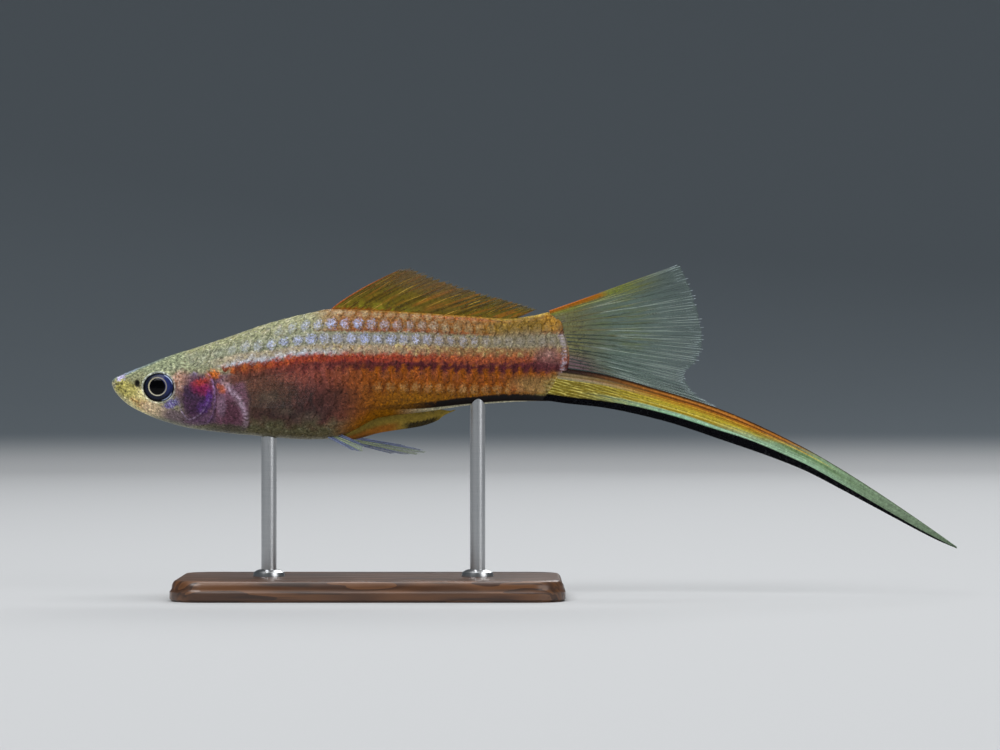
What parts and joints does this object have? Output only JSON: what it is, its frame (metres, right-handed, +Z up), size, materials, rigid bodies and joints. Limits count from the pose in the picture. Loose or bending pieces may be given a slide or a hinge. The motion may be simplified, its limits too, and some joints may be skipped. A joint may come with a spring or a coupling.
{
  "type": "swordtail",
  "caption": "Life-size still model of an adult male green swordtail with its long sword, held level by two rods on a flat wooden base.",
  "frame": {"origin": "on the floor, at the bottom centre of the whole model: half way between the snout and the tip of the sword", "axes": "+X towards the tail along the level fish, +Z up, and the fish's left side faces -Y"},
  "size_m": [0.1216, 0.03, 0.0479],
  "materials": {
    "skin": "cast and painted scales in olive, rust red and iridescent blue-white, satin gloss",
    "eye": "polished, dark, with a thin gold ring",
    "coloured_fin": "thin, translucent, orange, yellow and black rays",
    "clear_fin": "thin, clear, with fine grey rays",
    "base_wood": "dark stained, satin",
    "rod_steel": "brushed"
  },
  "bodies": {
    "root": {"head": "skin", "lower_jaw": "skin", "gill_cover_left": "skin", "gill_cover_right": "skin", "eye_left": "eye", "eye_right": "eye", "trunk": "skin", "body_rear": "skin", "tail_stalk": "skin", "dorsal_fin": "coloured_fin", "tail_fin": "clear_fin", "sword": "coloured_fin", "gonopodium": "coloured_fin", "pectoral_fin_left": "clear_fin", "pectoral_fin_right": "clear_fin", "pelvic_fin_left": "clear_fin", "pelvic_fin_right": "clear_fin", "stand_base": "base_wood", "stand_rod_front": "rod_steel", "stand_rod_rear": "rod_steel"}
  },
  "joints": []
}
